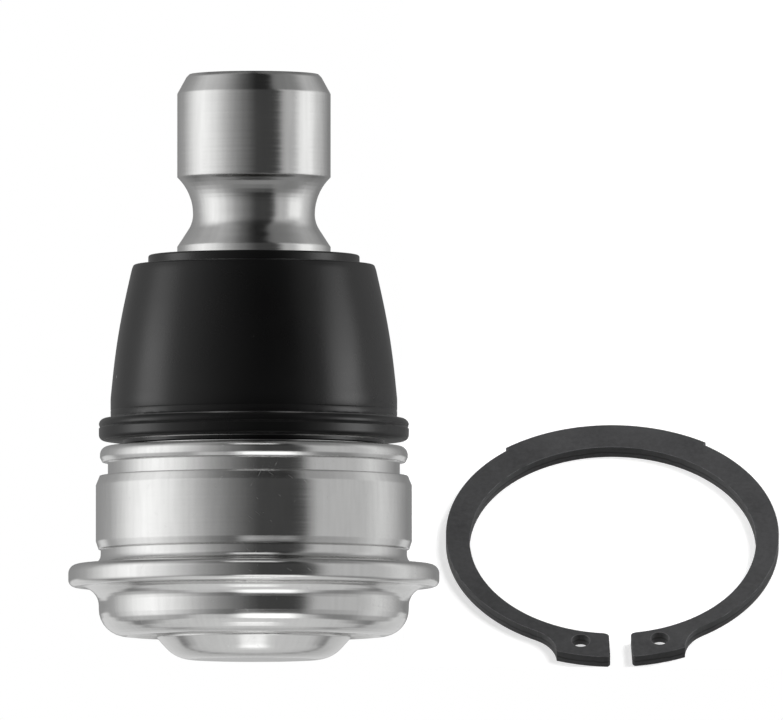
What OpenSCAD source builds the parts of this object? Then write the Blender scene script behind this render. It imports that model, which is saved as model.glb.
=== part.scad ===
// Suspension ball joint: a press-in housing, a pinch-bolt stud and the loose retaining ring
// Millimetres. The origin is the centre of the ball, and the stud points along +Z.

/* [Ball stud] */
// Diameter of the ball
ball_d = 27; // [25:0.5:28]
// Diameter of the flat under the ball
ball_flat_d = 10; // [4:0.5:14]
// Diameter of the neck above the ball
neck_d = 14; // [12:0.5:15]
// Diameter of the clamped shank
shank_d = 20.4; // [18:0.1:22]
// Height of the stud's tip above the centre of the ball
stud_h = 60.2; // [58:0.1:66]
// Height of the bevel at the tip
tip_bevel_h = 2.6; // [1:0.1:4]
// Width of the bevel at the tip
tip_bevel_w = 1.2; // [0.5:0.1:2]
// Depth of the pinch groove at its waist
pinch_depth = 2.1; // [1.6:0.1:2.8]
// Distance from the tip down to the waist
waist_drop = 18.6; // [17:0.1:21]
// Radius of the groove above its waist
groove_upper_r = 6.8; // [5:0.1:8]
// Radius of the groove below its waist
groove_lower_r = 3.8; // [2:0.1:5]
// Slope of the groove's lower flank, from the vertical
flank_angle = 33; // [25:1:45]
// Height of the collar that shows between the groove and the boot
collar_h = 1.1; // [0.5:0.1:3]
// Diameter of the turning centre in the tip
centre_d = 3.2; // [2:0.1:5]

/* [Motion] */
// Largest swing of the stud to each side
swing_angle = 24; // [15:1:25]
// Free space beside the neck at full swing
swing_gap = 0.6; // [0.4:0.1:1]

/* [Housing] */
// Diameter of the press land
land_d = 42; // [41:0.1:44]
// Height of the press land with its lead-in bevels
land_h = 9.75; // [8:0.05:12]
// Height of the lead-in bevel at the top of the land
lead_h = 1.25; // [0.5:0.05:2]
// Depth of the lead-in bevel at the top of the land
lead_w = 0.5; // [0.3:0.05:0.9]
// Depth from the centre of the ball to the flange's seat face
flange_drop = 5; // [4:0.1:6]
// Width of the flange beyond the press land
flange_w = 3.65; // [3:0.05:6]
// Thickness of the flange
flange_t = 3; // [2.5:0.1:5]
// Radius of the flange's upper corner
flange_round = 1.2; // [0.5:0.1:1.6]
// Radius of the flange's lower corner
flange_under_round = 0.9; // [0.3:0.1:1.6]
// Depth of the undercut between the land and the flange
undercut_w = 0.65; // [0.3:0.05:1]
// Height of the undercut between the land and the flange
undercut_h = 2; // [1.5:0.1:3]
// Radius of the undercut's hollow, which ends on the seat face outside the land
undercut_round = 1.3; // [1.1:0.05:1.5]
// Depth of the retaining ring groove below the press land
groove_depth = 1.6; // [1.3:0.05:1.8]
// Play of the retaining ring in its groove
ring_play = 0.1; // [0.05:0.05:0.4]
// Step from the press land in to the rim above the groove
rim_step = 0.55; // [0.4:0.05:1]
// Radius of the rim's upper corner
rim_round = 1.1; // [0.4:0.1:1.4]
// Height of the straight band on the rim
rim_band_h = 0.4; // [0.2:0.1:2]
// Height of the bevel under the rim
rim_under_h = 0.6; // [0.3:0.1:1.2]
// Depth of the bevel under the rim
rim_under_w = 0.3; // [0.1:0.05:0.5]
// Wall of the bowl around the end cap's pocket
bowl_wall = 3.2; // [2.6:0.1:4]
// Height of the bowl under the flange
bowl_h = 6.55; // [6.5:0.05:9]
// Radius of the bowl's lower corner
bowl_round = 4; // [2:0.1:4]
// Radius of the fillet between the flange and the bowl
bowl_fillet = 2.5; // [1:0.1:2.5]
// How far the edge of the rolled lip curls up from the bottom of the bowl
lip_rise = 0.4; // [0:0.1:0.8]
// Thickness of the rolled lip
lip_t = 1.3; // [1:0.1:1.8]
// How far the rolled lip covers the end cap
lip_cover = 1.45; // [1:0.05:2]

/* [Boot neck of the housing] */
// Wall of the neck at the mouth of its throat
neck_wall = 2.07; // [1.8:0.01:3]
// Height of the neck above the rim
boot_neck_h = 4.5; // [4:0.1:6]
// Depth of the boot's groove in the neck
boot_groove_depth = 0.7; // [0.4:0.05:1]
// Height of the neck's lip above the boot's groove
boot_lip_h = 1.3; // [0.8:0.1:2]

/* [Seats and end cap] */
// Wall of the bearing seats beside the ball
seat_wall = 2.4; // [2:0.1:2.8]
// Gap between the two seats
seat_split = 0.5; // [0.2:0.1:1]
// Height of the upper seat's lip above the centre of the ball
seat_lip_h = 7; // [6:0.1:7.5]
// Height of the throat above the upper seat's lip
throat_rise = 2; // [1.5:0.1:2.5]
// Width of the grease channels in the seats
channel_w = 2.4; // [1:0.1:4]
// Depth of the grease channels in the seats
channel_depth = 0.6; // [0.3:0.1:1]
// Number of grease channels in each seat
channel_count = 6; // [4:1:8]
// Thickness of the end cap's sheet
cap_t = 1.9; // [1.5:0.1:2.2]
// Width of the ledge that the end cap bears on
cap_ledge = 1.4; // [1:0.1:2]
// How far the dome stands out below the bowl
dome_drop = 3.1; // [2.5:0.1:5]
// Step from the rolled lip in to the dome
dome_step = 3.05; // [1:0.05:4]
// Width of the dome's side around the flat at its bottom
dome_side_w = 4.7; // [3.8:0.1:6]
// Slope of the dome's side, from the vertical
dome_slope = 42; // [35:1:50]
// Thickness of the preload spring's washer
spring_t = 1; // [0.8:0.1:1.2]
// Dish of the preload spring
spring_dish = 0.5; // [0.3:0.1:0.8]
// Section diameter of the cap seal
seal_d = 1.2; // [1:0.1:1.6]

/* [Dust boot] */
// Width of the lower bead beyond the housing's neck
bead_w = 3.5; // [3:0.1:4.5]
// Height of the bead's lower lip
bead_lower_h = 1.7; // [1.4:0.1:2.4]
// Height of the bead's upper lip
bead_upper_h = 1.2; // [1:0.1:2]
// Gap between the bead and the housing's rim
bead_gap = 0.9; // [0.5:0.1:1.5]
// Gap between the housing's neck and the wall
wall_clear = 0.3; // [0.2:0.05:1]
// Thickness of the wall
boot_wall = 1.6; // [1.2:0.1:1.7]
// How far the wall bulges
wall_bulge = 0.35; // [0:0.05:1]
// Width of the shoulder between the wall and the upper collar
shoulder_w = 2.15; // [1.5:0.05:3.5]
// Radius of the shoulder
shoulder_round = 1; // [0.5:0.1:1.4]
// Wall of the upper collar
collar_w = 2.6; // [2:0.1:3.2]
// Height of the upper collar
boot_collar_h = 1.3; // [1:0.05:2.5]
// Height of the sealing neck that hangs inside the boot
boot_seal_h = 4.2; // [3:0.1:6]
// Wall of the plastic sleeve on the stud
sleeve_wall = 1; // [0.8:0.1:1.2]
// Width of the steel hoops in the boot
hoop_w = 1.1; // [0.8:0.1:1.4]
// Height of the steel hoops in the boot
hoop_h = 1.3; // [1:0.1:1.6]

/* [Retaining ring] */
// How much smaller the relaxed ring's bore is than its groove
ring_grip = 0.3; // [0.1:0.1:1]
// Mean width of the ring
ring_w = 3.15; // [2.5:0.05:4]
// Shift of the outer edge towards the back
ring_shift = 1.15; // [0:0.05:1.3]
// Thickness of the ring
ring_t = 1.75; // [1.5:0.05:2]
// Width of the stiff back section
back_w = 4.6; // [4.4:0.05:6]
// Half of the angle that the back section spans
back_angle = 34.5; // [20:0.5:45]
// Width of the lugs
lug_w = 4.85; // [4.4:0.05:6]
// Angle from the gap to the root of each lug
lug_angle = 31; // [27:0.5:36]
// Radius of the fillet at the root of each lug
lug_fillet = 5; // [3:0.1:6]
// Gap between the lugs
lug_gap = 2.95; // [1.5:0.05:4]
// Diameter of the plier holes
plier_hole_d = 2.5; // [2:0.1:3]
// Distance of the plier holes from the middle of the gap
plier_hole_x = 5.3; // [4.5:0.1:6]
// Distance of the plier holes from the ring's bore
plier_hole_edge = 1.95; // [1.8:0.05:2.6]
// Radius of the lugs' corners
lug_corner = 0.6; // [0.3:0.1:0.8]

/* [Where the ring lies] */
// Tilt of the ring on its sloping rest
ring_tilt = 43; // [0:1:60]
// Turn of the ring about its own axis
ring_turn = 2.4; // [-10:0.1:10]
// Gap between the flange and the ring, seen from the front
ring_stand_off = 1; // [0.5:0.5:20]
// Distance of the lugs behind the centre of the ball
ring_front_y = 26; // [0:1:60]

/* [Fits] */
// Grease film between the ball and its seats
grease_gap = 0.05; // [0.03:0.01:0.1]
// Clearance around pieces that are assembled into the housing
fit_gap = 0.05; // [0.03:0.01:0.1]
// Clearance around the rubber boot
boot_gap = 0.15; // [0.1:0.05:0.3]

/* [Hidden] */
$fn = 128;
round_steps = 8;

// Radii of the ball, its bearing and the end cap's pocket
ball_r = ball_d / 2;
neck_r = neck_d / 2;
shank_r = shank_d / 2;
seat_r = ball_r + grease_gap;
bore_r = seat_r + seat_wall + fit_gap;
cap_pocket_r = bore_r + cap_ledge;
lip_r = cap_pocket_r - lip_cover;

// Radii outside the housing
land_r = land_d / 2;
flange_r = land_r + flange_w;
groove_r = land_r - groove_depth;

// Heights of the housing, from the centre of the ball
land_bottom = undercut_h - flange_drop;
land_top = land_bottom + land_h;
groove_top = land_top + ring_t + ring_play;
rim_top = groove_top + rim_under_h + rim_band_h + rim_round;
neck_top = rim_top + boot_neck_h;
boot_lip_bottom = neck_top - boot_lip_h;
flange_bottom = -flange_drop - flange_t;
bowl_bottom = flange_bottom - bowl_h;
lip_bottom = bowl_bottom + lip_rise;
cap_bottom = lip_bottom + lip_t;
cap_top = cap_bottom + cap_t;
floor_z = bowl_bottom - dome_drop;

// Heights of the seats
throat_z = seat_lip_h + throat_rise;
spring_top = cap_top + spring_t + spring_dish;
seat_bottom = spring_top + fit_gap;

// Heights of the stud
waist_z = stud_h - waist_drop;
waist_r = shank_r - pinch_depth;
flank_top = waist_z - groove_lower_r * sin(flank_angle);
flank_r = waist_r + groove_lower_r * (1 - cos(flank_angle));
collar_top = flank_top - (shank_r - flank_r) / tan(flank_angle);
boot_top = collar_top - collar_h;

// Heights of the boot
bead_h = bead_lower_h + bead_upper_h;
bead_bottom = rim_top + bead_gap;
bead_top = bead_bottom + bead_h;
shoulder_top = boot_top - boot_collar_h;
seal_bottom = shoulder_top - boot_seal_h;
top_lip_h = 0.6;

// Sleeve between the boot's neck and the stud
sleeve_r = shank_r + fit_gap + sleeve_wall;
sleeve_flange_h = 0.8;
sleeve_flange_w = 1.1;
sleeve_bottom = seal_bottom - boot_gap - sleeve_flange_h;
seal_r = sleeve_r + boot_gap;

// The stud flares from its neck to its full diameter between the housing and the sleeve
flare_above_neck = 5;
flare_below_sleeve = 0.5;
flare_bottom = neck_top + flare_above_neck;
flare_top = sleeve_bottom - flare_below_sleeve;

// Rubber around the steel hoops
base_hoop_cover = 0.5;
neck_hoop_cover = 0.45;

// Radii of the ring and the place of its centre
ring_bore_r = groove_r - ring_grip / 2;
ring_outer_r = ring_bore_r + ring_w;
lug_r = ring_bore_r + lug_w;
ring_x = flange_r + ring_stand_off + ring_outer_r;
ring_y = ring_front_y + lug_r * cos(ring_tilt);
ring_z = floor_z + lug_r * sin(ring_tilt);

// Distance from the stud's upright axis that the tilted neck reaches at height z
function neck_reach(z) = z * tan(swing_angle) + neck_r / cos(swing_angle);

// Radius of the housing's throat at height z
function throat_r(z) = neck_reach(z) + swing_gap;

// Radii of the housing's neck, which carries the boot
boot_neck_r = throat_r(neck_top) + neck_wall;
boot_groove_r = boot_neck_r - boot_groove_depth;

// Radius of a sphere of radius r at height z
function slice_r(r, z) = sqrt(r * r - z * z);

// Points of an arc about [x, z] from angle a to angle b
function arc(x, z, r, a, b) = [for (i = [0 : round_steps])
    let (t = a + (b - a) * i / round_steps) [x + r * cos(t), z + r * sin(t)]];

// Turned steel body with the press land, the ring groove, the flange and the rolled lip
module housing() {
    rim_r = land_r - rim_step;
    bowl_r = cap_pocket_r + bowl_wall;
    // the corner leaves room for the slope up to the rolled lip's edge
    bowl_corner = min(bowl_round, bowl_wall + lip_cover - lip_t / 2 - lip_rise);
    bowl_corner_top = min(bowl_fillet, flange_r - flange_under_round - bowl_r);
    undercut_r = land_r - undercut_w;
    bevel = 0.35;
    bevel_h = 1.05;
    shoulder_z = throat_z - (bore_r - throat_r(throat_z));
    outline = concat(
        // rolled lip and bowl
        arc(lip_r + lip_t / 2, lip_bottom + lip_t / 2, lip_t / 2, 90, 270),
        arc(bowl_r - bowl_corner, bowl_bottom + bowl_corner, bowl_corner, -90, 0),
        arc(bowl_r + bowl_corner_top, flange_bottom - bowl_corner_top, bowl_corner_top, 180, 90),
        // flange
        arc(flange_r - flange_under_round, flange_bottom + flange_under_round, flange_under_round, -90, 0),
        arc(flange_r - flange_round, -flange_drop - flange_round, flange_round, 0, 90),
        // undercut, press land and ring groove
        arc(undercut_r + undercut_round, -flange_drop + undercut_round, undercut_round, 270, 180),
        [[undercut_r, land_bottom], [land_r - bevel, land_bottom], [land_r, land_bottom + bevel_h]],
        [[land_r, land_top - lead_h], [land_r - lead_w, land_top], [groove_r, land_top]],
        // rim and the neck that carries the boot
        [[groove_r, groove_top], [rim_r - rim_under_w, groove_top], [rim_r, groove_top + rim_under_h]],
        arc(rim_r - rim_round, rim_top - rim_round, rim_round, 0, 90),
        [[boot_groove_r, rim_top], [boot_groove_r, boot_lip_bottom]],
        [[boot_neck_r, boot_lip_bottom], [boot_neck_r, neck_top - bevel], [boot_neck_r - bevel, neck_top]],
        // throat, bore and the pocket of the end cap
        [[throat_r(neck_top), neck_top], [throat_r(throat_z), throat_z], [bore_r, shoulder_z]],
        [[bore_r, cap_top], [cap_pocket_r, cap_top], [cap_pocket_r, cap_bottom]]
    );
    color("silver") rotate_extrude() polygon(outline);
}

// Pressed steel dome that closes the housing under the rolled lip
module end_cap() {
    cap_r = cap_pocket_r - fit_gap;
    dome_r = lip_r - dome_step;
    flat_r = dome_r - dome_side_w;
    bend = 0.7;
    dome_neck_h = 0.2;
    side_z = bowl_bottom - dome_neck_h;
    // radius at which the round bottom meets the sloping side
    round_r = (dome_side_w - (side_z - floor_z) * tan(dome_slope))
        / (cos(dome_slope) - (1 - sin(dome_slope)) * tan(dome_slope));
    inner_flat_r = flat_r - (1 - sin(dome_slope)) * cap_t;
    inner_r = dome_r - cap_t;
    outer = concat(
        [[0, floor_z], [flat_r, floor_z]],
        arc(flat_r, floor_z + round_r, round_r, -90, -dome_slope),
        [[dome_r, side_z]],
        arc(dome_r + bend, cap_bottom + fit_gap - bend, bend, 180, 90),
        [[cap_r, cap_bottom + fit_gap], [cap_r, cap_top - fit_gap]]
    );
    inner = concat(
        arc(inner_r + cap_t / 2, cap_top - fit_gap - cap_t / 2, cap_t / 2, 90, 180),
        arc(inner_flat_r, floor_z + cap_t + round_r / 2, round_r / 2, -dome_slope, -90),
        [[0, floor_z + cap_t]]
    );
    color("gainsboro") rotate_extrude() polygon(concat(outer, inner));
}

// Rubber ring in the corner between the end cap's rim and the housing
module cap_seal() {
    color("dimgray") rotate_extrude()
        translate([bore_r - fit_gap - seal_d / 2, cap_top + fit_gap + seal_d / 2]) circle(d = seal_d);
}

// Dished washer that presses the lower seat against the ball
module preload_spring() {
    // the washer stays inside the cap seal and bears on the seat around the ball's flat
    outer_r = bore_r - seal_d - 3 * fit_gap;
    bearing_w = 0.8;
    inner_r = slice_r(seat_r, seat_bottom) + bearing_w;
    color("slategray") rotate_extrude() polygon([
        [outer_r, cap_top], [outer_r, cap_top + spring_t],
        [inner_r, spring_top], [inner_r, spring_top - spring_t]
    ]);
}

// Shallow channels that spread the grease over the ball
module grease_channels() {
    dip = 1;
    for (i = [0 : channel_count - 1])
        rotate([90, 0, 360 * i / channel_count])
            linear_extrude(channel_w, center = true)
                difference() {
                    circle(r = seat_r + channel_depth);
                    circle(r = seat_r - dip);
                    translate([-2 * seat_r, -seat_r - dip]) square([2 * seat_r, 2 * (seat_r + dip)]);
                }
}

// Plastic bearing half under the ball
module lower_seat() {
    seat_outer_r = bore_r - fit_gap;
    color("ivory") difference() {
        rotate_extrude() polygon([
            [0, seat_bottom], [seat_outer_r - seal_d, seat_bottom],
            [seat_outer_r, seat_bottom + seal_d], [seat_outer_r, -seat_split / 2], [0, -seat_split / 2]
        ]);
        sphere(r = seat_r);
        grease_channels();
    }
}

// Plastic bearing half over the ball
module upper_seat() {
    seat_outer_r = bore_r - fit_gap;
    // the cone follows the housing's shoulder
    shoulder_z = throat_z - (bore_r - throat_r(throat_z)) - fit_gap;
    lip_outer_r = seat_outer_r - (seat_lip_h - shoulder_z);
    color("ivory") difference() {
        rotate_extrude() polygon([
            [0, seat_split / 2], [seat_outer_r, seat_split / 2], [seat_outer_r, shoulder_z],
            [lip_outer_r, seat_lip_h], [0, seat_lip_h]
        ]);
        sphere(r = seat_r);
        grease_channels();
    }
}

// Forged and turned stud with its ball, neck, collar, pinch groove and shank
module ball_stud() {
    neck_root = 0.5;
    neck_root_h = 0.8;
    neck_root_z = slice_r(ball_r, neck_r + neck_root);
    tip_r = shank_r - tip_bevel_w;
    tip_round = 0.4;
    flare_w = shank_r - neck_r;
    flare_h = flare_top - flare_bottom;
    flare = [for (i = [0 : round_steps]) let (t = i / round_steps)
        [neck_r + flare_w * (1 - cos(180 * t)) / 2, flare_bottom + flare_h * t]];
    groove_side = sqrt(pow(groove_upper_r, 2) - pow(waist_r + groove_upper_r - shank_r, 2));
    groove_end = asin(groove_side / groove_upper_r);
    first_step = groove_end / round_steps;
    outline = concat(
        [[0, 0], [neck_r + neck_root, neck_root_z], [neck_r, neck_root_z + neck_root_h]],
        flare,
        [[shank_r, collar_top]],
        arc(waist_r + groove_lower_r, waist_z, groove_lower_r, 180 + flank_angle, 180),
        arc(waist_r + groove_upper_r, waist_z, groove_upper_r, 180 - first_step, 180 - groove_end),
        [[shank_r, stud_h - tip_bevel_h], [tip_r, stud_h - tip_round], [tip_r - tip_round, stud_h]],
        [[centre_d / 2, stud_h], [0, stud_h - centre_d / 2]]
    );
    color("lightgray") {
        rotate_extrude() polygon(outline);
        difference() {
            sphere(r = ball_r);
            translate([0, 0, -ball_r - slice_r(ball_r, ball_flat_d / 2)])
                cube(2 * ball_r, center = true);
        }
    }
}

// Rubber bell that keeps dirt out, with a bead around the housing and a collar on the stud
module dust_boot() {
    bead_r = boot_neck_r + bead_w;
    base_r = boot_neck_r + wall_clear + boot_wall;
    collar_r = seal_r + collar_w;
    top_r = collar_r + shoulder_w;
    lower_round = bead_lower_h / 2;
    upper_round = bead_upper_h / 2;
    crease = 50;
    collar_round = 0.4;
    grip_r = boot_groove_r + boot_gap;
    lip_clear_r = boot_neck_r + boot_gap;
    lip_clear_h = 0.5;
    lip_clear_z = neck_top + lip_clear_h;
    foot_h = 2.2;
    wall_bottom = bead_top + foot_h;
    wall_top = shoulder_top - shoulder_round;
    seal_root_r = seal_r + 1.6 * hoop_w;
    wall_h = wall_top - wall_bottom;
    // the bulge is a sine of the height
    wall = [for (i = [0 : round_steps]) let (t = i / round_steps)
        [base_r + (top_r - base_r) * t + wall_bulge * sin(180 * t), wall_bottom + wall_h * t]];
    inner_wall = [for (i = [round_steps : -1 : 0])
        [wall[i][0] - boot_wall, min(wall[i][1], shoulder_top - boot_wall)]];
    outer = concat(
        // foot on the housing's rim, then the bead with its two lips and the crease between them
        [[grip_r, rim_top + boot_gap], [lip_clear_r, rim_top + boot_gap], [lip_clear_r, bead_bottom]],
        arc(bead_r - lower_round, bead_bottom + lower_round, lower_round, -90, crease),
        arc(bead_r - upper_round, bead_top - upper_round, upper_round, -crease, 90),
        // wall, shoulder and collar
        [[base_r, bead_top]],
        wall,
        arc(top_r - shoulder_round, wall_top, shoulder_round, 0, 90),
        [[collar_r, shoulder_top]],
        arc(collar_r - collar_round, boot_top - collar_round, collar_round, 0, 90),
        [[shank_r + boot_gap, boot_top], [shank_r + boot_gap, boot_top - top_lip_h]],
        [[seal_r, boot_top - top_lip_h]]
    );
    inner = concat(
        [[seal_r, seal_bottom], [seal_r + hoop_w, seal_bottom], [seal_root_r, shoulder_top - boot_wall]],
        inner_wall,
        [[base_r - boot_wall, lip_clear_z], [lip_clear_r, lip_clear_z - (wall_clear - boot_gap)]],
        [[lip_clear_r, boot_lip_bottom - boot_gap], [grip_r, boot_lip_bottom - boot_gap]]
    );
    color([0.1, 0.1, 0.1]) rotate_extrude() difference() {
        polygon(concat(outer, inner));
        hoop_section(base_hoop_r(), base_hoop_z(), fit_gap);
        hoop_section(neck_hoop_r(), neck_hoop_z(), fit_gap);
    }
}

// Inner radius and lower edge of the steel hoop in the bead
function base_hoop_r() = boot_neck_r + base_hoop_cover;
function base_hoop_z() = bead_bottom + (bead_h - hoop_h) / 2;

// Inner radius and lower edge of the steel hoop in the collar
function neck_hoop_r() = seal_r + neck_hoop_cover;
function neck_hoop_z() = boot_top - neck_hoop_cover - hoop_h;

// Section of a steel hoop, grown by gap on every side
module hoop_section(inner_r, bottom_z, gap) {
    translate([inner_r - gap, bottom_z - gap]) square([hoop_w + 2 * gap, hoop_h + 2 * gap]);
}

// Steel hoop moulded into the boot's lower bead
module boot_base_ring() {
    color("darkgray") rotate_extrude() hoop_section(base_hoop_r(), base_hoop_z(), 0);
}

// Plastic bush on which the boot's neck slides as the stud turns
module boot_neck_sleeve() {
    sleeve_bore_r = shank_r + fit_gap;
    sleeve_flange_r = sleeve_r + sleeve_flange_w;
    sleeve_top = boot_top - top_lip_h - boot_gap;
    color("whitesmoke") rotate_extrude() polygon([
        [sleeve_bore_r, sleeve_bottom], [sleeve_flange_r, sleeve_bottom],
        [sleeve_flange_r, sleeve_bottom + sleeve_flange_h], [sleeve_r, sleeve_bottom + sleeve_flange_h],
        [sleeve_r, sleeve_top], [sleeve_bore_r, sleeve_top]
    ]);
}

// Steel hoop moulded into the boot's upper collar
module boot_neck_ring() {
    color("darkgray") rotate_extrude() hoop_section(neck_hoop_r(), neck_hoop_z(), 0);
}

// Cutter that rounds a corner of the ring's outline
module corner_cut(x, y, turn) {
    over = 1;
    translate([x, y]) rotate(turn) difference() {
        translate([-over, -over]) square(lug_corner + over);
        translate([lug_corner, lug_corner]) circle(r = lug_corner);
        translate([lug_corner, -2 * over]) square(lug_corner + 2 * over);
        translate([-2 * over, lug_corner]) square(lug_corner + 2 * over);
    }
}

// Triangle from the centre towards side * Y, which spans the given angle to each side of the Y axis
module wedge(half_angle, reach, side) {
    half_w = reach * tan(half_angle);
    polygon([[0, 0], [-half_w, side * reach], [half_w, side * reach]]);
}

// Flat outline of the ring, with its gap towards -Y
module ring_outline() {
    back_r = ring_bore_r + back_w;
    end_x = lug_gap / 2;
    hole_r = ring_bore_r + plier_hole_edge;
    hole_y = -slice_r(hole_r, plier_hole_x);
    root_r = ring_outer_r - ring_shift * cos(lug_angle);
    difference() {
        union() {
            translate([0, ring_shift]) circle(r = ring_outer_r);
            // stiff back section
            intersection() {
                circle(r = back_r);
                wedge(back_angle, 2 * back_r, 1);
            }
            // lugs
            intersection() {
                circle(r = lug_r);
                wedge(lug_angle, 2 * lug_r, -1);
            }
        }
        circle(r = ring_bore_r);
        translate([-end_x, -2 * lug_r]) square([lug_gap, 2 * lug_r]);
        for (side = [-1, 1]) {
            translate([side * plier_hole_x, hole_y]) circle(d = plier_hole_d);
            // fillet at the root of the lug
            rotate(side * lug_angle) translate([0, -root_r - lug_fillet]) circle(r = lug_fillet);
            mirror([side < 0 ? 1 : 0, 0]) {
                corner_cut(end_x, -slice_r(ring_bore_r, end_x), 270);
                corner_cut(end_x, -slice_r(lug_r, end_x), 0);
            }
        }
    }
}

// Spring steel snap ring that holds the pressed-in joint in its arm
module retaining_ring() {
    color([0.2, 0.2, 0.21])
        translate([ring_x, ring_y, ring_z])
            rotate([ring_tilt, 0, 0]) rotate([0, 0, ring_turn])
                linear_extrude(ring_t) ring_outline();
}

housing();
end_cap();
cap_seal();
preload_spring();
lower_seat();
upper_seat();
ball_stud();
dust_boot();
boot_base_ring();
boot_neck_sleeve();
boot_neck_ring();
retaining_ring();
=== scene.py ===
"""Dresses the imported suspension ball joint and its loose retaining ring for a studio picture.

The frame gives every rigid piece. This script adds the finishes, the moulded rubber boot, the rolled
edges of the ring, the studio and the camera. Lengths are written in millimetres and turned into
metres where a mesh, a light or the camera takes them.
"""

import math

import bmesh
import bpy
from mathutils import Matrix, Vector, noise


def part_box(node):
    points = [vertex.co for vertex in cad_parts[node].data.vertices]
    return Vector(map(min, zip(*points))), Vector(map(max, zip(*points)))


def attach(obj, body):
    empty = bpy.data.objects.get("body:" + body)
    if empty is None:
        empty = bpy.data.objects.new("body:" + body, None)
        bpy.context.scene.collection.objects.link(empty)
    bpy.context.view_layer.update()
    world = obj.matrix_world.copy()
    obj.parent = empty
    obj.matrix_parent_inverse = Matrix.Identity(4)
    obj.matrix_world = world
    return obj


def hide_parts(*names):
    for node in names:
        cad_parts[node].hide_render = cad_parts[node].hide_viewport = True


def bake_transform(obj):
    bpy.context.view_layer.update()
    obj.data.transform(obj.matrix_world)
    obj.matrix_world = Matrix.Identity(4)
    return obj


MM = 0.001

# Picture
IMAGE_WIDTH = 783
PIXELS_PER_MM = 7.524
SENSOR_MM = 36.0
CAMERA_DISTANCE = 3500.0
CAMERA_ELEVATION = -2.8
AIM_X = 18.29
AIM_Z = 22.2
CLIP_START_M = 0.1
CLIP_END_M = 20.0

# The ring leans on a slope that stands on the floor
RING_TILT = 43.0
SLOPE_SIZE = 400.0
SLOPE_LEFT = 20.0
FLOOR_HALF = 1500.0
STAGE_GAP = 0.03

# Brightness that the metal mirrors. Azimuth is 0 towards the camera and grows to the right.
WALLS_ROUND = [
    (-180, 0.25), (-147, 0.38), (-130, 0.49), (-112, 0.9), (-103, 1.15), (-85, 1.42), (-64, 1.15),
    (-50, 0.82), (-34, 0.47), (-18, 0.26), (-4, 0.13), (4, 0.07), (30, 0.065), (37, 0.12), (46, 0.55),
    (50, 0.63), (88, 0.64), (100, 0.8), (108, 0.88), (120, 0.71), (136, 0.45), (150, 0.3), (180, 0.25),
]
WALLS_UP = [
    (-62, 0.0), (-48, 0.2), (-38, 0.46), (-28, 0.75), (-18, 1.0), (28, 1.0), (38, 0.8), (47, 0.5),
    (70, 0.3), (90, 0.25),
]
FLOOR_UP = [(-90, 0.45), (-62, 0.35), (-46, 0.14), (-38, 0.0)]

# Cards: name, azimuth, elevation, height aimed at, distance, (width, height), brightness, softened share
STUD_CARDS = [("stud_card", 84, 0, 45, 300, (270, 420), 0.65, 0.8)]
BOOT_CARDS = [
    ("boot_card_left", -90, 0, 25, 400, (330, 500), 2.6, 0.8),
    ("boot_card_right", 80, 0, 25, 400, (330, 500), 4.4, 0.8),
]
LOWER_CARDS = [
    ("top_card", 0, 62, 5, 600, (360, 240), 1.1, 0.6),
    ("low_card", 13, -46, -12, 600, (560, 350), 1.25, 0.6),
    ("floor_card", 0, -89, -15, 500, (1000, 1000), 0.4, 0.3),
    ("back_card", 180, -25, -15, 600, (1200, 560), 0.45, 0.3),
    ("spot_card", 0, -88, -15, 450, (200, 200), 0.8, 0.6),
]


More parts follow.
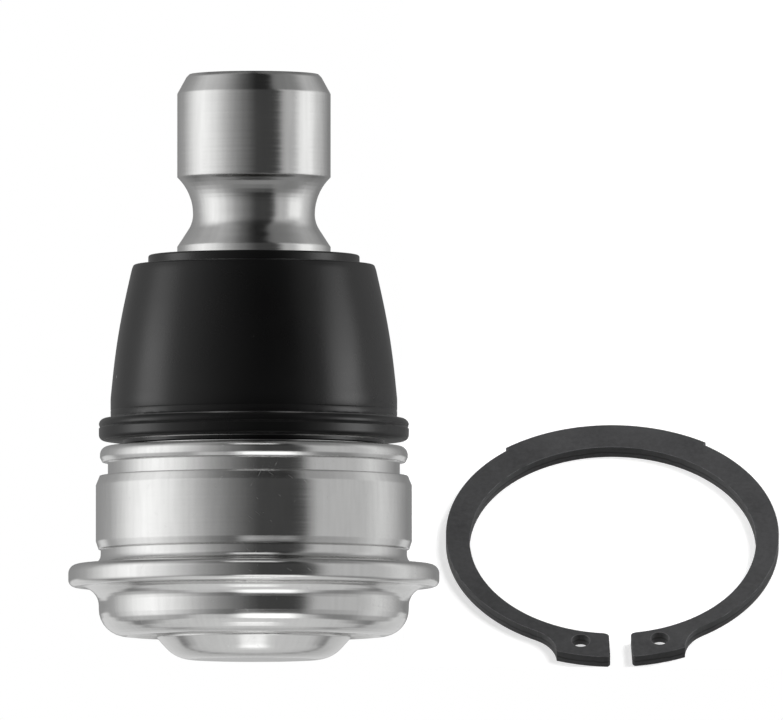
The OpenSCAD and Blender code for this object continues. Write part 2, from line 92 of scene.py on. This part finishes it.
class Graph:
    """Short calls for building a node tree; an input is a number, a tuple or another node's output."""

    def __init__(self, tree):
        self.tree = tree
        tree.nodes.clear()

    def node(self, kind, inputs=None, **settings):
        made = self.tree.nodes.new(kind)
        for name, value in settings.items():
            setattr(made, name, value)
        for key, value in (inputs or {}).items():
            self.feed(made.inputs[key], value)
        return made

    def feed(self, socket, value):
        if isinstance(value, bpy.types.NodeSocket):
            self.tree.links.new(value, socket)
        else:
            socket.default_value = value

    def math(self, operation, first, second=0.0, third=0.0):
        inputs = {0: first, 1: second, 2: third}
        return self.node("ShaderNodeMath", inputs, operation=operation).outputs[0]

    def vector(self, operation, first, second):
        """Vector operation, whose second input is a number for SCALE."""
        inputs = {0: first, ("Scale" if operation == "SCALE" else 1): second}
        return self.node("ShaderNodeVectorMath", inputs, operation=operation).outputs[0]

    def dot(self, first, second):
        inputs = {0: first, 1: second}
        return self.node("ShaderNodeVectorMath", inputs, operation="DOT_PRODUCT").outputs["Value"]

    def length(self, vector):
        return self.node("ShaderNodeVectorMath", {0: vector}, operation="LENGTH").outputs["Value"]

    def total(self, values):
        result = values[0]
        for value in values[1:]:
            result = self.math("ADD", result, value)
        return result

    def ramp(self, value, low, high, to_low=0.0, to_high=1.0, kind="SMOOTHSTEP"):
        inputs = {"Value": value, "From Min": low, "From Max": high, "To Min": to_low, "To Max": to_high}
        return self.node("ShaderNodeMapRange", inputs, interpolation_type=kind).outputs["Result"]

    def spread(self, value, to_low, to_high):
        """Turns the middle of a noise, which is most of it, evenly into a range."""
        return self.ramp(value, 0.3, 0.7, to_low, to_high, "LINEAR")

    def profile(self, value, stops):
        """Height of a line through (place, height) stops, level beyond its ends."""
        low, high = stops[0][0], stops[-1][0]
        made = self.node("ShaderNodeValToRGB", {0: self.ramp(value, low, high, kind="LINEAR")})
        elements = made.color_ramp.elements
        elements[0].color, elements[1].color = grey(stops[0][1]), grey(stops[-1][1])
        for place, height in stops[1:-1]:
            elements.new((place - low) / (high - low)).color = grey(height)
        return made.outputs["Color"]

    def noise(self, vector, scale, detail=3.0, roughness=0.5):
        inputs = {"Vector": vector, "Scale": scale, "Detail": detail, "Roughness": roughness}
        return self.node("ShaderNodeTexNoise", inputs).outputs["Fac"]

    def line_noise(self, value, scale, detail=2.0):
        """Noise along one length only."""
        inputs = {"W": value, "Scale": scale, "Detail": detail}
        return self.node("ShaderNodeTexNoise", inputs, noise_dimensions="1D").outputs["Fac"]

    def combine(self, x, y, z):
        return self.node("ShaderNodeCombineXYZ", {0: x, 1: y, 2: z}).outputs[0]

    def tinted(self, tone, blue):
        """Grey colour of a tone, with its blue part made stronger or weaker."""
        return self.combine(tone, tone, self.math("MULTIPLY", tone, blue))

    def bump(self, height, distance_mm, normal=None):
        inputs = {"Height": height, "Distance": distance_mm * MM}
        if normal is not None:
            inputs["Normal"] = normal
        return self.node("ShaderNodeBump", inputs).outputs[0]

    def rounded(self, radius_mm):
        """Normal of the surface with its edges rounded."""
        return self.node("ShaderNodeBevel", {"Radius": radius_mm * MM}, samples=6).outputs[0]


def grey(value):
    return (value, value, value, 1.0)


def new_object(name, data):
    made = bpy.data.objects.new(name, data)
    bpy.context.scene.collection.objects.link(made)
    return made


def object_from(name, mesh):
    """Turns a finished bmesh into an object and frees it."""
    data = bpy.data.meshes.new(name)
    mesh.to_mesh(data)
    mesh.free()
    return new_object(name, data)


def smooth(item, angle):
    item.data.shade_smooth()
    item.data.set_sharp_from_angle(angle=math.radians(angle))


# Finishes

def new_material(name):
    material = bpy.data.materials.new(name)
    material.use_nodes = True
    return material, Graph(material.node_tree)


def finish_material(graph, shader):
    graph.node("ShaderNodeOutputMaterial", {"Surface": shader.outputs[0]})


def finish_surface(graph, inputs):
    finish_material(graph, graph.node("ShaderNodeBsdfPrincipled", inputs))


def object_place(graph):
    """The surface point in metres and its parts x, y and z."""
    place = graph.node("ShaderNodeTexCoord").outputs["Object"]
    parts = graph.node("ShaderNodeSeparateXYZ", {0: place}).outputs
    return place, parts[0], parts[1], parts[2]


def unrolled(graph, x, y, radius_mm):
    """Length round the axis, and distance from the axis, of a point on a turned surface."""
    around = graph.math("MULTIPLY", graph.math("ARCTAN2", x, y), radius_mm * MM)
    squares = graph.math("ADD", graph.math("MULTIPLY", x, x), graph.math("MULTIPLY", y, y))
    return around, graph.math("SQRT", squares)


def drawn_out(graph, around, height, tilt, pitch_mm, length_mm):
    """Noise drawn out along a direction that is tilted from the turning direction."""
    cosine, sine = math.cos(math.radians(tilt)), math.sin(math.radians(tilt))
    along = graph.math(
        "ADD", graph.math("MULTIPLY", around, cosine), graph.math("MULTIPLY", height, sine)
    )
    across = graph.math(
        "SUBTRACT", graph.math("MULTIPLY", height, cosine), graph.math("MULTIPLY", around, sine)
    )
    stretched = graph.combine(
        graph.math("DIVIDE", along, length_mm * MM), graph.math("DIVIDE", across, pitch_mm * MM), 0.0
    )
    return graph.noise(stretched, 1.0, detail=1.0)


def handling_marks(graph, place, around, height, rarity):
    """Fine scratches in two directions and tiny pits, 1 where the surface is marked."""
    rising = drawn_out(graph, around, height, tilt=38.0, pitch_mm=0.07, length_mm=2.2)
    falling = drawn_out(graph, around, height, tilt=-62.0, pitch_mm=0.06, length_mm=3.0)
    first = graph.ramp(rising, rarity, rarity + 0.03)
    second = graph.ramp(falling, rarity + 0.01, rarity + 0.04)
    pits = graph.ramp(graph.noise(place, 1700.0, detail=1.0), 0.79, 0.83)
    return graph.math("MAXIMUM", graph.math("MAXIMUM", first, second), pits)


def turned_normal(graph, lines, cloud, marks, line_depth, chatter):
    """Normal of a turned surface with its lathe lines, faint waves and marks."""
    edge_round, cloud_depth, mark_depth = 0.35, 0.008, 0.004
    # rounding blends the narrow cones that stand for the arcs, and breaks the sharp edges
    normal = graph.bump(lines, line_depth, graph.rounded(edge_round))
    normal = graph.bump(cloud, cloud_depth, normal)
    normal = graph.bump(graph.math("MULTIPLY", marks, -1.0), mark_depth, normal)
    # the tool chatters, so that each line turns the surface a little to one side
    swing = graph.math("MULTIPLY", graph.math("SUBTRACT", lines, 0.5), chatter)
    side = graph.node("ShaderNodeTangent", direction_type="RADIAL", axis="Z").outputs[0]
    return graph.vector("ADD", normal, graph.vector("SCALE", side, swing))


def steel(name, color, roughness, line_depth, chatter, rarity, radius_mm):
    """Turned steel: lathe lines round the axis, upright streaks, a cloudy finish and a few marks."""
    line_pitch = 0.34
    material, graph = new_material(name)
    place, x, y, height = object_place(graph)
    around, radius = unrolled(graph, x, y, radius_mm)
    run = graph.math("ADD", height, graph.math("MULTIPLY", radius, 0.7))
    lines = graph.line_noise(run, 1.0 / (line_pitch * MM), detail=2.0)
    cloud = graph.noise(place, 180.0, detail=4.0)
    streaks = drawn_out(graph, around, height, tilt=90.0, pitch_mm=0.7, length_mm=7.0)
    marks = handling_marks(graph, place, around, height, rarity)
    tone = graph.total(
        [
            graph.spread(cloud, color * 0.96, color * 1.02),
            graph.spread(streaks, color * -0.02, color * 0.02),
        ]
    )
    paint = graph.math("MULTIPLY", tone, graph.ramp(marks, 0.0, 1.0, 1.0, 0.7))
    gloss = graph.total(
        [
            graph.spread(lines, roughness * 0.85, roughness * 1.15),
            graph.spread(cloud, -0.012, 0.02),
            graph.math("MULTIPLY", marks, 0.15),
        ]
    )
    finish_surface(
        graph,
        {
            "Base Color": graph.tinted(paint, 0.99),
            "Metallic": 1.0,
            "Roughness": gloss,
            "Normal": turned_normal(graph, lines, cloud, marks, line_depth, chatter),
        },
    )
    return material


def specks(graph, place, scale, size, share):
    """Small round spots in a share of the cells of a pattern, 1 inside a spot."""
    cells = graph.node("ShaderNodeTexVoronoi", {"Vector": place, "Scale": scale})
    chosen = graph.node("ShaderNodeSeparateColor", {0: cells.outputs["Color"]}).outputs[0]
    spot = graph.ramp(cells.outputs["Distance"], size * 0.6, size, 1.0, 0.0)
    return graph.math("MULTIPLY", spot, graph.math("GREATER_THAN", chosen, 1.0 - share))


def rubber(name, color, roughness):
    """Moulded black rubber with a soft sheen, a fine skin, a few dust specks and nicks."""
    dust_tone, skin_share, depth = 0.16, 0.2, 0.03
    material, graph = new_material(name)
    place = object_place(graph)[0]
    skin = graph.noise(place, 2600.0, detail=2.0)
    cloud = graph.noise(place, 90.0, detail=3.0)
    dust = specks(graph, place, scale=330.0, size=0.09, share=0.08)
    nicks = specks(graph, place, scale=410.0, size=0.08, share=0.06)
    base = graph.spread(cloud, color * 0.85, color * 1.2)
    tone = graph.math("ADD", base, graph.math("MULTIPLY", dust, dust_tone))
    height = graph.math("SUBTRACT", graph.math("MULTIPLY", skin, skin_share), nicks)
    finish_surface(
        graph,
        {
            "Base Color": graph.tinted(tone, 1.02),
            "Roughness": graph.spread(cloud, roughness - 0.03, roughness + 0.04),
            "Specular IOR Level": 0.25,
            "Normal": graph.bump(height, depth),
        },
    )
    return material


def plastic(name, color, roughness):
    """Moulded bearing plastic with a faint grain."""
    material, graph = new_material(name)
    place = object_place(graph)[0]
    cloud = graph.noise(place, 200.0)
    paint = graph.node("ShaderNodeMix", {0: cloud}, data_type="RGBA")
    graph.feed(paint.inputs[6], tuple(0.94 * part for part in color) + (1.0,))
    graph.feed(paint.inputs[7], color + (1.0,))
    grain = graph.bump(graph.noise(place, 1800.0), 0.004)
    finish_surface(
        graph, {"Base Color": paint.outputs[2], "Roughness": roughness, "Normal": grain}
    )
    return material


def sheared_wall_and_painted_shade(graph, place, underside_mm):
    """Darkening of the stamped ring: 1 on its faces, with painted shade over its side walls and a dark
    torn line of the sheared band along them.
    """
    line_height, waviness = 0.55 * MM, 0.5 * MM
    turn = math.radians(RING_TILT)
    upward = (0.0, -math.sin(turn), math.cos(turn))
    normal = graph.node("ShaderNodeTexCoord").outputs["Normal"]
    wall = graph.ramp(graph.math("ABSOLUTE", graph.dot(normal, upward)), 0.35, 0.6, 1.0, 0.0)
    height = graph.math("ADD", graph.dot(place, upward), underside_mm * MM)
    wobble = graph.math("MULTIPLY", graph.noise(place, 700.0, detail=3.0), waviness)
    line = graph.math("ADD", wobble, line_height)
    from_line = graph.math("ABSOLUTE", graph.math("SUBTRACT", height, line))
    # torn also holds painted shade: away from the torn line it still darkens the whole wall a little, as
    # if the walls caught less light than the faces
    torn = graph.ramp(from_line, 0.05 * MM, 0.2 * MM, 0.65, 0.12)
    return graph.math("SUBTRACT", 1.0, graph.math("MULTIPLY", wall, torn))


def worn_edge(graph, place):
    """1 where the rolled edges of the ring are worn bare, in patches along them."""
    surface = graph.node("ShaderNodeNewGeometry").outputs["Normal"]
    edge = graph.ramp(graph.dot(graph.rounded(0.22), surface), 0.86, 0.98, 1.0, 0.0)
    patches = graph.ramp(graph.noise(place, 420.0, detail=2.0), 0.36, 0.6)
    return graph.math("MULTIPLY", edge, patches)


def phosphate(name, color, underside_mm):
    """Black phosphated spring steel: matt crystals, painted shade on its side walls, a little lighter
    where its edges are worn.
    """
    worn_tone = 0.1
    material, graph = new_material(name)
    place = object_place(graph)[0]
    crystal = graph.noise(place, 1700.0, detail=4.0, roughness=0.7)
    cloud = graph.noise(place, 120.0, detail=3.0)
    base = graph.spread(cloud, color * 0.88, color * 1.12)
    grain = graph.ramp(crystal, 0.35, 0.75, -0.15 * color, 0.3 * color, "LINEAR")
    grained = graph.math("ADD", base, grain)
    # painted shade on the side walls, and the dark torn line of the sheared band
    shaded = graph.math("MULTIPLY", grained, sheared_wall_and_painted_shade(graph, place, underside_mm))
    tone = graph.math("ADD", shaded, graph.math("MULTIPLY", worn_edge(graph, place), worn_tone))
    finish_surface(
        graph,
        {
            "Base Color": graph.tinted(tone, 1.03),
            "Roughness": graph.spread(crystal, 0.42, 0.58),
            "Normal": graph.bump(crystal, 0.012),
        },
    )
    return material


# Moulded boot

def arc(x, z, radius, start, stop, steps=10):
    """Points of an arc about (x, z) from angle start to angle stop, in degrees."""
    angles = [math.radians(start + (stop - start) * i / steps) for i in range(steps + 1)]
    return [(x + radius * math.cos(a), z + radius * math.sin(a)) for a in angles]


def rough(points, depth):
    """The points with a roughness in millimetres, as the third number that lathe() reads."""
    return [(point[0], point[1], depth) for point in points]


def boot_wall(low_z, high_z, base_r, top_r):
    """Outer line of the bulging wall, from the bead up to the shoulder."""
    steps = 36
    bulge = 0.35
    line = []
    for i in range(steps + 1):
        t = i / steps
        radius = base_r + (top_r - base_r) * t + bulge * math.sin(math.pi * t)
        line.append((radius, low_z + (high_z - low_z) * t))
    return line


def bead_outline(foot, flank_r):
    """The foot on the housing's rim, the bead with its crease, and the rough flash line over it."""
    bottom = foot + 0.6
    line = [(17.2, foot + 0.03), (17.35, foot + 0.2), (17.35, bottom + 0.02), (18.6, bottom)]
    line += arc(flank_r - 0.75, bottom + 0.75, 0.75, -90, 0)
    line += [(flank_r + 0.01, bottom + 1.6)]
    line += rough([(flank_r - 0.12, bottom + 1.73), (flank_r - 0.17, bottom + 1.8)], 0.05)
    line += rough([(flank_r - 0.08, bottom + 1.88)], 0.03)
    line += arc(flank_r - 0.83, bottom + 2.12, 0.83, 2, 90)
    line += rough([(19.3, bottom + 2.98), (19.16, bottom + 3.02), (19.12, bottom + 3.12)], 0.06)
    line += rough([(19.0, bottom + 3.2)], 0.04)
    line += [(19.04, bottom + 3.32), (19.05, bottom + 3.9)]
    line += [(18.99, bottom + 4.0), (19.05, bottom + 4.1)]
    return line


def boot_profile():
    """Closed section of the boot in millimetres, from the box that the frame gives it."""
    low, high = (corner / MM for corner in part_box("dust_boot"))
    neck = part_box("housing")[1].z / MM
    stud_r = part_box("boot_neck_sleeve")[1].x / MM
    top, shoulder, wall = high.z, high.z - 1.3, 1.6
    grip_r, base_r, top_r, collar_r = 16.6, 19.05, 16.33, 14.05
    wall_line = boot_wall(low.z + 6.15, shoulder - 1.0, base_r, top_r)
    outer = [(grip_r, low.z + 0.05)] + bead_outline(low.z, high.x) + wall_line
    outer += [(16.27, shoulder - 0.76), (16.18, shoulder - 0.46)]
    outer += arc(15.76, shoulder - 0.33, 0.35, 12, 86)
    outer += [(collar_r + 0.35, shoulder)]
    outer += arc(collar_r + 0.2, shoulder + 0.2, 0.2, -95, -180, 5)
    outer += arc(collar_r - 0.3, top - 0.3, 0.3, 0, 90)
    outer += [(stud_r - 1.8, top), (stud_r - 1.95, top - 0.25), (stud_r - 1.9, top - 0.6)]
    seal_r, seal_z = stud_r - 0.95, top - 5.45
    inner = [(seal_r, top - 0.62), (seal_r, seal_z), (seal_r + 1.1, seal_z)]
    inner += [(seal_r + 1.8, shoulder - wall)]
    inner += [(radius - wall, min(height, shoulder - wall)) for radius, height in reversed(wall_line)]
    inner += [(base_r - wall, neck + 0.5), (17.27, neck + 0.35)]
    inner += [(17.27, neck - 1.45), (grip_r, neck - 1.45)]
    return outer + inner


def lathe(name, profile, turns=480):
    """Mesh turned about Z from a closed profile of (radius, height, optional roughness) points."""
    mesh = bmesh.new()
    rings = []
    for step in range(turns):
        angle = 2 * math.pi * step / turns
        sine, cosine = math.sin(angle), math.cos(angle)
        ring = []
        for radius, height, *depth in profile:
            if depth:
                # fine noise round the axis stands for torn flash and small notches
                radius += depth[0] * noise.noise(Vector((28 * sine, 28 * cosine, 5 * height)))
            ring.append(mesh.verts.new((radius * MM * sine, -radius * MM * cosine, height * MM)))
        rings.append(ring)
    count = len(profile)
    for step in range(turns):
        here, there = rings[step], rings[(step + 1) % turns]
        for i in range(count):
            j = (i + 1) % count
            mesh.faces.new((here[i], there[i], there[j], here[j]))
    bmesh.ops.recalc_face_normals(mesh, faces=mesh.faces)
    return object_from(name, mesh)


def make_boot(material):
    boot = lathe("rubber_boot", boot_profile())
    smooth(boot, 38.0)
    boot.data.materials.append(material)
    # a liberty for the picture: the groove under the shank stays light instead of mirroring the boot
    boot.visible_glossy = False
    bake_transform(boot)
    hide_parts("dust_boot")
    return boot


# Rigid pieces

def dress(node, material):
    """Gives a rigid piece of the frame its finish. Its mesh stays as the frame has it."""
    for slot in node.material_slots:
        slot.material = material


def make_ring(node, material):
    """The stamped ring from its outline in the frame, with its edges rolled round."""
    weld, edge_round, corner = 0.002 * MM, 0.2 * MM, math.radians(50)
    solid = bmesh.new()
    solid.from_mesh(node.data)
    bmesh.ops.remove_doubles(solid, verts=solid.verts, dist=weld)
    closed = [edge for edge in solid.edges if len(edge.link_faces) == 2]
    sharp = [edge for edge in closed if edge.calc_face_angle() > corner]
    bmesh.ops.bevel(
        solid, geom=sharp, offset=edge_round, offset_type="OFFSET", segments=3, profile=0.5,
        affect="EDGES", clamp_overlap=True, harden_normals=False,
    )
    made = object_from("stamped_ring", solid)
    smooth(made, 26.0)
    made.data.materials.append(material)
    # the joint was photographed without the ring beside it, so its steel doesn't mirror the ring
    made.visible_glossy = False
    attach(made, "loose_ring")
    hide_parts("retaining_ring")


def ring_underside(ring):
    """Distance in millimetres of the ring's underside from the origin, along its downward normal."""
    turn = math.radians(RING_TILT)
    down = Vector((0, math.sin(turn), -math.cos(turn)))
    return max(down.dot(vertex.co) for vertex in ring.data.vertices) / MM


def dress_frame(nodes):
    stud_steel = steel(
        "turned_stud", color=0.62, roughness=0.15, line_depth=0.0018, chatter=0.04, rarity=0.82,
        radius_mm=10.2,
    )
    housing_steel = steel(
        "zinc_housing", color=0.66, roughness=0.13, line_depth=0.0014, chatter=0.02, rarity=0.76,
        radius_mm=21.0,
    )
    cap_steel = steel(
        "pressed_cap", color=0.65, roughness=0.15, line_depth=0.0008, chatter=0.006, rarity=0.76,
        radius_mm=12.0,
    )
    oiled_steel = steel(
        "oiled_spring", color=0.35, roughness=0.3, line_depth=0.002, chatter=0.004, rarity=0.8,
        radius_mm=14.0,
    )
    boot_rubber = rubber("boot_rubber", color=0.0028, roughness=0.28)
    bearing_plastic = plastic("bearing_plastic", color=(0.82, 0.8, 0.72), roughness=0.45)
    dress(nodes["ball_stud"], stud_steel)
    dress(nodes["housing"], housing_steel)
    dress(nodes["end_cap"], cap_steel)
    dress(nodes["cap_seal"], boot_rubber)
    ring = nodes["retaining_ring"]
    make_ring(ring, phosphate("phosphated_ring", 0.054, ring_underside(ring)))
    for name in ("preload_spring", "boot_base_ring", "boot_neck_ring"):
        dress(nodes[name], oiled_steel)
    for name in ("lower_seat", "upper_seat", "boot_neck_sleeve"):
        dress(nodes[name], bearing_plastic)
    return make_boot(boot_rubber)


# Studio

def white_stage(name, glow, answer):
    """Stage material: white with the object's soft shadow to the camera, and clear from behind.

    Only the camera sees it. The metal mirrors the pale floor that the world holds.
    glow is its own brightness, and answer is how much of the light, and so of the shadow, it shows.
    Away from the object it fades into the white surroundings, which the lamps don't reach.
    """
    full_mm, gone_mm = 150.0, 280.0
    material, graph = new_material(name)
    distance = graph.length(object_place(graph)[0])
    near = graph.ramp(distance, full_mm * MM, gone_mm * MM, 1.0, 0.0)
    shadow = graph.node("ShaderNodeBsdfDiffuse", {"Color": grey(answer)})
    light = graph.node("ShaderNodeEmission", {"Strength": glow})
    seen = graph.node("ShaderNodeAddShader", {0: shadow.outputs[0], 1: light.outputs[0]})
    clear = graph.node("ShaderNodeBsdfTransparent")
    camera_ray = graph.node("ShaderNodeLightPath").outputs["Is Camera Ray"]
    behind = graph.node("ShaderNodeNewGeometry").outputs["Backfacing"]
    shown = graph.math("MULTIPLY", camera_ray, graph.math("SUBTRACT", near, behind))
    mixed = graph.node("ShaderNodeMixShader", {0: shown, 1: clear.outputs[0], 2: seen.outputs[0]})
    finish_material(graph, mixed)
    return material


def sheet(name, corners, material):
    """Flat stage sheet through corners in millimetres."""
    data = bpy.data.meshes.new(name)
    data.from_pydata([Vector(corner) * MM for corner in corners], [], [(0, 1, 2, 3)])
    made = new_object(name, data)
    made.data.materials.append(material)


def make_stage(ring):
    """A floor under the joint, and the slope that the ring's underside lies on."""
    material = white_stage("stage_white", glow=0.6, answer=0.6)
    floor_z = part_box("end_cap")[0].z / MM
    half, level = FLOOR_HALF, floor_z - STAGE_GAP
    corners = [(-half, -half), (half, -half), (half, half), (-half, half)]
    sheet("stage_floor", [(x, y, level) for x, y in corners], material)
    turn = math.radians(RING_TILT)
    reach = ring_underside(ring) + STAGE_GAP
    foot = Vector((0, (reach + floor_z * math.cos(turn)) / math.sin(turn), floor_z))
    up = Vector((0, math.cos(turn), math.sin(turn))) * SLOPE_SIZE
    # the left edge is hidden behind the joint
    left, right = Vector((SLOPE_LEFT, 0, 0)), Vector((SLOPE_SIZE, 0, 0))
    sheet("stage_slope", [foot + left, foot + right, foot + right + up, foot + left + up], material)


def make_world():
    """White to the camera, and walls and a pale floor to the metal."""
    world = bpy.data.worlds.new("studio")
    bpy.context.scene.world = world
    world.use_nodes = True
    graph = Graph(world.node_tree)
    direction = graph.node("ShaderNodeTexCoord").outputs["Generated"]
    x, y, z = graph.node("ShaderNodeSeparateXYZ", {0: direction}).outputs
    azimuth = graph.math("DEGREES", graph.math("ARCTAN2", x, graph.math("MULTIPLY", y, -1.0)))
    elevation = graph.math("DEGREES", graph.math("ARCSINE", z))
    around, upward = graph.profile(azimuth, WALLS_ROUND), graph.profile(elevation, WALLS_UP)
    walls = graph.math("MULTIPLY", around, upward)
    glow = graph.math("ADD", walls, graph.profile(elevation, FLOOR_UP))
    studio = graph.node("ShaderNodeBackground", {"Strength": glow, "Color": grey(1.0)})
    white = graph.node("ShaderNodeBackground", {"Strength": 1.0, "Color": grey(1.0)})
    seen = graph.node("ShaderNodeLightPath").outputs["Is Camera Ray"]
    mixed = graph.node("ShaderNodeMixShader", {0: seen, 1: studio.outputs[0], 2: white.outputs[0]})
    graph.node("ShaderNodeOutputWorld", {"Surface": mixed.outputs[0]})


def area_light(name, place, target, size, power):
    """Soft light of a (width, height) at a place in millimetres, facing a target."""
    data = bpy.data.lights.new(name, "AREA")
    data.shape = "RECTANGLE"
    data.size, data.size_y = size[0] * MM, size[1] * MM
    data.energy = power
    lamp = new_object(name, data)
    lamp.location = Vector(place) * MM
    lamp.rotation_euler = (Vector(target) - Vector(place)).to_track_quat("-Z", "Y").to_euler()
    lamp.visible_camera = False
    return lamp


def soften(lamp, soft):
    """Fades a lamp towards its edges, over a share of each half of its face."""
    lamp.data.use_nodes = True
    graph = Graph(lamp.data.node_tree)
    place = graph.node("ShaderNodeNewGeometry").outputs["Parametric"]
    parts = graph.node("ShaderNodeSeparateXYZ", {0: place}).outputs
    fades = []
    for part in (parts[0], parts[1]):
        from_middle = graph.math("ABSOLUTE", graph.math("MULTIPLY_ADD", part, 2.0, -1.0))
        fades.append(graph.ramp(from_middle, 1.0 - soft, 1.0, 1.0, 0.0))
    strength = graph.math("MULTIPLY", fades[0], fades[1])
    glow = graph.node("ShaderNodeEmission", {"Strength": strength})
    graph.node("ShaderNodeOutputLight", {"Surface": glow.outputs[0]})


def card(pieces, name, azimuth, elevation, aim_z, distance, size, brightness, soft):
    """Bright card in a direction in degrees, which only the given pieces mirror."""
    turn, rise = math.radians(azimuth), math.radians(elevation)
    level = math.cos(rise)
    outward = Vector((math.sin(turn) * level, -math.cos(turn) * level, math.sin(rise)))
    aim = Vector((0, 0, aim_z))
    power = math.pi * size[0] * size[1] * MM * MM * brightness
    lamp = area_light(name, aim + outward * distance, aim, size, power)
    soften(lamp, soft)
    lit = bpy.data.collections.new(name + "_lights")
    for piece in pieces:
        lit.objects.link(piece)
    lamp.light_linking.receiver_collection = lit


def make_lights(nodes, boot):
    """Two lamps that throw the shadow, and the cards that each piece mirrors."""
    for lamp in (
        area_light("key", (420, -260, 520), (30, 20, 0), (260, 260), 3.4),
        area_light("fill", (-350, -500, 500), (20, 0, 10), (420, 420), 1.6),
    ):
        lamp.visible_glossy = False
    groups = (
        ([nodes["ball_stud"]], STUD_CARDS),
        ([boot], BOOT_CARDS),
        ([nodes["housing"], nodes["end_cap"]], LOWER_CARDS),
    )
    for pieces, cards in groups:
        for values in cards:
            card(pieces, *values)


def make_camera():
    data = bpy.data.cameras.new("camera")
    data.sensor_width = SENSOR_MM
    data.lens = SENSOR_MM * PIXELS_PER_MM * CAMERA_DISTANCE / IMAGE_WIDTH
    data.clip_start, data.clip_end = CLIP_START_M, CLIP_END_M
    aim = Vector((AIM_X, 0, AIM_Z))
    rise = math.radians(CAMERA_ELEVATION)
    place = aim + Vector((0, -math.cos(rise), math.sin(rise))) * CAMERA_DISTANCE
    camera = new_object("camera", data)
    camera.location = place * MM
    camera.rotation_euler = (aim - place).to_track_quat("-Z", "Y").to_euler()
    bpy.context.scene.camera = camera


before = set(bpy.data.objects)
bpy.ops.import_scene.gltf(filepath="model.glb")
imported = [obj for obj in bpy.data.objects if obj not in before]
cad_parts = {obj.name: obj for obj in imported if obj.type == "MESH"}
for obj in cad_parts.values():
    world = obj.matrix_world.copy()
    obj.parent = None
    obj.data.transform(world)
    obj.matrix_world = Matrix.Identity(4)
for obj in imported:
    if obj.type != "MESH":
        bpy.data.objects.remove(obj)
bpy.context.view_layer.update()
make_camera()
make_world()
make_stage(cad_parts["retaining_ring"])
boot = dress_frame(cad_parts)
make_lights(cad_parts, boot)
bpy.context.scene.view_settings.view_transform = "Standard"
